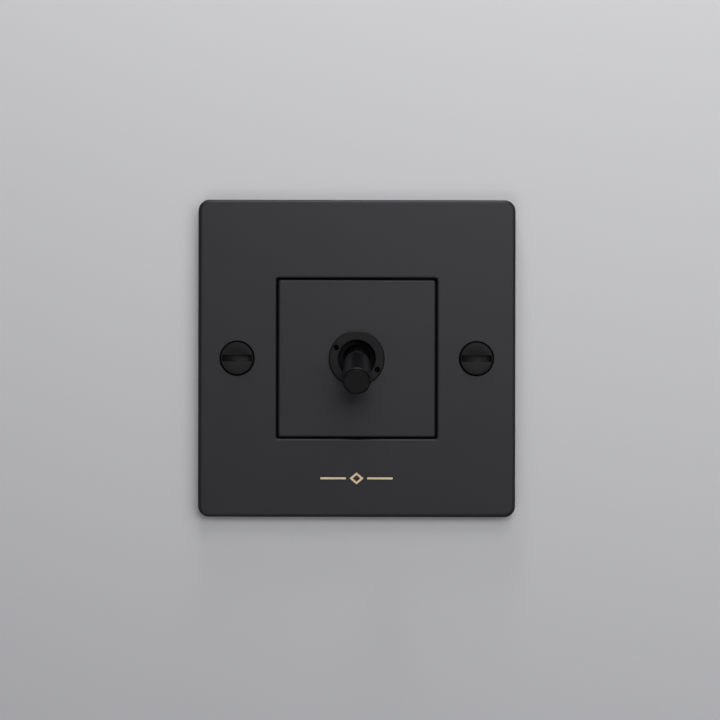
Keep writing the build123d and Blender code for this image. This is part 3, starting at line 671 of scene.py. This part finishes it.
# ---- the lever's grip: a spun sleeve with a diamond knurl -------------------------
def knurled_grip():
    """The sleeve round the stem: knurled wall, chamfered end ring, fine groove and end disc."""
    lead = math.pi * 2 * GRIP_R / KNURL_STARTS / math.tan(KNURL_HELIX)
    step = lead / (1.5 * KNURL_CELL_STEPS)
    count = round((KNURL_TO - KNURL_FROM) / step)
    wall = [(GRIP_R, KNURL_FROM + (KNURL_TO - KNURL_FROM) * i / count) for i in range(count + 1)]
    ring_top = GRIP_TIP - END_RING_BACK
    ring_r = GRIP_R - TIP_CHAMFER
    disc_r = ring_r - RING_LAND - END_GROOVE
    profile = [
        (0, STEM_TIP),
        (STEM_R, STEM_TIP),
        (STEM_R, GRIP_REAR),
        (GRIP_R - REAR_CHAMFER - EDGE_BREAK, GRIP_REAR),
        (GRIP_R - REAR_CHAMFER + EDGE_BREAK, GRIP_REAR + EDGE_BREAK),
        (GRIP_R - EDGE_BREAK, GRIP_REAR + REAR_CHAMFER - EDGE_BREAK),
        (GRIP_R, GRIP_REAR + REAR_CHAMFER + EDGE_BREAK),
        *wall,
        (GRIP_R - 0.01, ring_top - TIP_CHAMFER),
        (ring_r, ring_top - 0.01),
        (ring_r - RING_LAND, ring_top),
        (ring_r - 0.06, ring_top - END_GROOVE_DEPTH),
        (disc_r, ring_top - END_GROOVE_DEPTH),
        (disc_r, GRIP_TIP - END_EDGE),
        (disc_r - END_EDGE, GRIP_TIP),
        (0, GRIP_TIP),
    ]
    mesh = spun(profile, KNURL_STARTS * KNURL_CELL_STEPS)
    mark_outside(mesh, GRIP_R - 0.001, GRIP_R + 0.001)
    sizes = {
        "Starts": float(KNURL_STARTS),
        "Lead": lead,
        "Depth": KNURL_DEPTH,
        "Crest": KNURL_CREST,
        "Cross Cut": 1.0,
        "From": KNURL_FROM,
        "To": KNURL_TO,
        "Run Out": KNURL_RUN_OUT,
    }
    made = groove_cutter(knurled_black()).bake("knurled_grip", mesh, sizes)
    made.data.transform(LEVER_TURN)
    seat(made, "lever", "lever_grip")


# ---- the fixing screws: slotted heads and cut threads -----------------------------
HEAD_R = 4.05
HEAD_FRONT = -6.0
HEAD_BACK = -4.0
HEAD_ROUND = 0.15
SLOT_LENGTH = 7.5
SLOT_WIDTH = 1.6
SLOT_MIDDLE = 0.55
SLOT_END = 1.5
NECK_R = 1.5
SHANK_R = 1.75
THREAD_FROM = 0.3
THREAD_TO = 21.2
THREAD_PITCH = 0.6
THREAD_DEPTH = 0.36
THREAD_CREST = 0.1
STEPS_PER_THREAD = 6
SHANK_END = 22.0
SHANK_POINT = 0.75
NECK_FLARE = 0.12
BROKEN_EDGE = 0.05
FLAT_FROM_MM2 = 0.9
INTO_WALL = Matrix.Rotation(math.radians(-90), 4, "X")


def slot_cutter():
    """The closed-ended slot as a closed block. Its floor is crowned, highest in the middle."""
    shell = bmesh.new()
    half = SLOT_LENGTH / 2
    rise = SLOT_END - SLOT_MIDDLE
    steps = 24  # enough for a smooth crown
    across = [half - 2 * half * i / steps for i in range(steps + 1)]
    floor = [(x, HEAD_FRONT + SLOT_END - rise * (1 - (x / half) ** 2)) for x in across]
    outline = [(-half, HEAD_FRONT - 1), (half, HEAD_FRONT - 1), *floor]
    face = shell.faces.new([shell.verts.new((x * MM, y * MM, -SLOT_WIDTH / 2 * MM)) for x, y in outline])
    grown = bmesh.ops.extrude_face_region(shell, geom=[face])["geom"]
    moved = [item for item in grown if isinstance(item, bmesh.types.BMVert)]
    bmesh.ops.translate(shell, vec=(0, 0, SLOT_WIDTH * MM), verts=moved)
    bmesh.ops.recalc_face_normals(shell, faces=shell.faces)
    mesh = bpy.data.meshes.new("slot_cutter")
    shell.to_mesh(mesh)
    shell.free()
    return piece("slot_cutter", mesh)


def screw_head():
    """A turned head with its slot cut and every edge slightly broken. Its large faces stay flat."""
    edge = arc((HEAD_R - HEAD_ROUND, HEAD_FRONT + HEAD_ROUND), HEAD_ROUND, 0, -90, 5)
    profile = [
        (0, HEAD_BACK),
        (HEAD_R - BROKEN_EDGE, HEAD_BACK),
        (HEAD_R, HEAD_BACK - BROKEN_EDGE),
        *edge,
        (0, HEAD_FRONT),
    ]
    head = piece("screw_head", spun(profile, 96, INTO_WALL))
    cutter = slot_cutter()
    cut = head.modifiers.new("slot", "BOOLEAN")
    cut.operation = "DIFFERENCE"
    cut.solver = "EXACT"
    cut.object = cutter
    soft = head.modifiers.new("broken_edges", "BEVEL")
    soft.width = BROKEN_EDGE * MM
    soft.segments = 2
    soft.limit_method = "ANGLE"
    soft.angle_limit = math.radians(50)
    graph = bpy.context.evaluated_depsgraph_get()
    mesh = bpy.data.meshes.new_from_object(head.evaluated_get(graph), depsgraph=graph)
    bpy.data.objects.remove(head)
    bpy.data.objects.remove(cutter)
    for face in mesh.polygons:
        face.use_smooth = face.area < FLAT_FROM_MM2 * MM * MM
    return mesh


def joined(name, *meshes):
    """One mesh from several."""
    shell = bmesh.new()
    for mesh in meshes:
        shell.from_mesh(mesh)
    made = bpy.data.meshes.new(name)
    shell.to_mesh(made)
    shell.free()
    return made


def slotted_screws():
    """Both fixing screws: slotted head, plain neck and a cut thread behind the wall plane."""
    steps = round((THREAD_TO - THREAD_FROM) / THREAD_PITCH * STEPS_PER_THREAD)
    wall = [(SHANK_R, THREAD_FROM + (THREAD_TO - THREAD_FROM) * i / steps) for i in range(steps + 1)]
    profile = [
        (0, HEAD_BACK),
        (NECK_R + NECK_FLARE, HEAD_BACK),
        (NECK_R, HEAD_BACK + NECK_FLARE),
        (NECK_R, 0),
        *wall,
        (SHANK_R - SHANK_POINT, SHANK_END),
        (0, SHANK_END),
    ]
    mesh = spun(profile, 48)
    mark_outside(mesh, SHANK_R - 0.001, SHANK_R + 0.001)
    sizes = {
        "Starts": 1.0,
        "Lead": THREAD_PITCH,
        "Depth": THREAD_DEPTH,
        "Crest": THREAD_CREST,
        "From": THREAD_FROM,
        "To": THREAD_TO,
        "Run Out": THREAD_PITCH,
    }
    threaded = groove_cutter(turned_screws).bake("threaded_shank", mesh, sizes)
    threaded.data.transform(INTO_WALL)
    screw = joined("slotted_screw", screw_head(), threaded.data)
    bpy.data.objects.remove(threaded)
    sizes = {"Columns": 2, "Rows": 1, "Column Pitch": 2 * SCREW_X * MM}
    made = setting_out(turned_screws).bake("slotted_screws", screw, sizes)
    seat(made, "plate_and_module", "fixing_screws")


# ---- the plunger's spring, and the rolled eyelets of the case ----------------------
SPRING_FROM = -6.0
SPRING_TO = -3.0
SPRING_WIRE = 0.38
SPRING_MIDDLE_R = 1.05
SPRING_TURNS = 5.5
RIVET_BORE_R = 0.75
RIVET_SHANK_R = 1.25
RIVET_FLANGE = 0.7
RIVET_EDGE = 0.15
RIVET_PITCH_X = 25.0
RIVET_PITCH_Z = 29.0
ROLL_R = 0.4


def plunger_spring():
    """The coil in the lever's tail that pushes the plunger out."""
    sizes = {
        "Wire": SPRING_WIRE,
        "Middle Radius": SPRING_MIDDLE_R,
        "Length": SPRING_TO - SPRING_FROM,
        "Turns": SPRING_TURNS,
    }
    empty = bpy.data.meshes.new("empty")
    made = coil(drawn_wire()).bake("coil_spring", empty, sizes)
    made.data.transform(Matrix.Translation((0, 0, (SPRING_FROM + SPRING_WIRE / 2) * MM)))
    made.data.transform(LEVER_TURN)
    seat(made, "lever", "plunger_spring")


def rolled_eyelets():
    """Hollow rivets: a plain tube with a flanged front and a rolled rear head."""
    low, high = (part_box("case_rivets")[corner].y / MM for corner in (0, 1))
    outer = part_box("case_rivets")[1].x / MM - RIVET_PITCH_X / 2
    profile = [
        (RIVET_BORE_R, low + 0.2),
        (1.0, low),
        (outer - RIVET_EDGE, low),
        (outer, low + RIVET_EDGE),
        (outer, low + RIVET_FLANGE - 0.1),
        (outer - 0.1, low + RIVET_FLANGE),
        (RIVET_SHANK_R, low + RIVET_FLANGE),
        (RIVET_SHANK_R, high - RIVET_FLANGE),
        (outer - 2 * RIVET_EDGE, high - RIVET_FLANGE),
        (outer - 0.05, high - RIVET_FLANGE + RIVET_EDGE),
        *arc((outer - ROLL_R - 0.05, high - ROLL_R), ROLL_R, 0, 90, 6),
        (1.1, high - 0.1),
        (RIVET_BORE_R, high - 0.45),
    ]
    sizes = {
        "Columns": 2,
        "Rows": 2,
        "Column Pitch": RIVET_PITCH_X * MM,
        "Row Pitch": RIVET_PITCH_Z * MM,
    }
    mesh = spun(profile, 40, INTO_WALL)
    made = setting_out(zinc_screws).bake("rolled_eyelets", mesh, sizes)
    seat(made, "plate_and_module", "case_rivets")


knurled_grip()
slotted_screws()
plunger_spring()
rolled_eyelets()

# ---- backdrop: a pale wall with an opening behind the plate ------------------------
WALL_HALF = 150.0
PAINTED_LIGHT_FADE = 260.0  # height over which the paint goes from its low tone to its high tone
OPENING_HALF = 38.5
WALL_FRONT = -0.02
# painted light: the wall's tone goes from WALL_HIGH at the top to WALL_LOW at the bottom, and a little
# darker to the left
WALL_LOW = (0.485, 0.485, 0.50)
WALL_HIGH = (0.68, 0.68, 0.695)
PAINTED_LIGHT_RIGHTWARD = 0.0012  # what each millimetre to the right adds to that fade


def backdrop():
    """A painted wall panel seen from the room side only, open behind the plate, with painted light that
    makes it darker towards the bottom and the left.
    """
    sheet = bmesh.new()
    rings = []
    for half in (OPENING_HALF, WALL_HALF):
        corners = ((-half, -half), (half, -half), (half, half), (-half, half))
        rings.append([sheet.verts.new((x * MM, WALL_FRONT * MM, z * MM)) for x, z in corners])
    for side in range(4):
        after = (side + 1) % 4
        sheet.faces.new((rings[0][side], rings[1][side], rings[1][after], rings[0][after]))
    mesh = bpy.data.meshes.new("wall_panel")
    sheet.to_mesh(mesh)
    sheet.free()
    wall = piece("wall_panel", mesh)
    if mesh.polygons[0].normal.y > 0:
        mesh.flip_normals()
    paint = Finish("wall_paint", (0.60, 0.605, 0.62), 0.85)
    # painted light: the tone is lighter at the top and to the right
    painted_light_fall = paint.z / PAINTED_LIGHT_FADE + paint.x * PAINTED_LIGHT_RIGHTWARD + 0.5
    paint.set("Base Color", paint.blend(painted_light_fall, WALL_LOW, WALL_HIGH))
    roller = paint.noise(1.1, 3.0, 0.6)
    paint.bump(roller, 0.02, 0.35)
    clear = paint.add("ShaderNodeBsdfTransparent").outputs[0]
    behind = paint.add("ShaderNodeNewGeometry").outputs["Backfacing"]
    mixed = paint.add("ShaderNodeMixShader", None, {0: behind, 1: paint.shader.outputs[0], 2: clear})
    paint.feed(paint.nodes["Material Output"].inputs["Surface"], mixed.outputs[0])
    mesh.materials.append(paint.material)


backdrop()


# ---- light and camera ---------------------------------------------------------------
def soft_light(name, place, aim, size, watts, tint=(1.0, 1.0, 1.0)):
    """An oblong area light, with its place, its aim and its two sizes in millimetres."""
    lamp = bpy.data.lights.new(name, "AREA")
    lamp.shape = "RECTANGLE"
    lamp.size = size[0] * MM
    lamp.size_y = size[1] * MM
    lamp.energy = watts
    lamp.color = tint
    made = bpy.data.objects.new(name, lamp)
    made.location = Vector(place) * MM
    made.rotation_euler = (Vector(aim) - Vector(place)).to_track_quat("-Z", "Y").to_euler()
    SCENE.collection.objects.link(made)


soft_light("key_above", (150, -480, 480), (0, 0, 0), (400, 300), 1.0, (1.0, 0.99, 0.98))
soft_light("along_wall", (40, -40, 480), (0, 0, 0), (400, 60), 1.8)
soft_light("front_high", (100, -950, 260), (0, 0, 0), (450, 300), 3.0)
soft_light("front_right", (560, -880, 60), (0, 0, 0), (500, 500), 1.9, (0.97, 0.98, 1.0))
soft_light("front_left", (-560, -880, 60), (0, 0, 0), (500, 500), 0.2, (0.985, 0.985, 1.0))
soft_light("front_low", (-200, -850, -480), (0, 0, 0), (500, 400), 1.5, (0.985, 0.985, 1.0))
soft_light("rear_high", (-500, 620, 480), (0, 10, 0), (600, 500), 2.0)
soft_light("rear_low", (520, 560, -260), (0, 10, 0), (500, 400), 1.8, (0.95, 0.97, 1.0))

world = bpy.data.worlds.new("studio")
world.use_nodes = True
world.node_tree.nodes["Background"].inputs["Color"].default_value = (0.86, 0.88, 0.92, 1.0)
world.node_tree.nodes["Background"].inputs["Strength"].default_value = 0.07
SCENE.world = world
SCENE.view_settings.view_transform = "Standard"

CAMERA_PLACE = (0.81, -605.0, -0.38)
CAMERA_ROLL = math.radians(-0.12)
VIEW_WIDTH = 181.4
VIEW_DISTANCE = 600.0
SENSOR = 36.0

camera = bpy.data.cameras.new("camera")
camera.sensor_width = SENSOR
camera.lens = SENSOR * VIEW_DISTANCE / VIEW_WIDTH
camera.clip_start = 0.05
seen = bpy.data.objects.new("camera", camera)
seen.location = Vector(CAMERA_PLACE) * MM
seen.rotation_euler = (math.radians(90), CAMERA_ROLL, 0)
SCENE.collection.objects.link(seen)
SCENE.camera = seen
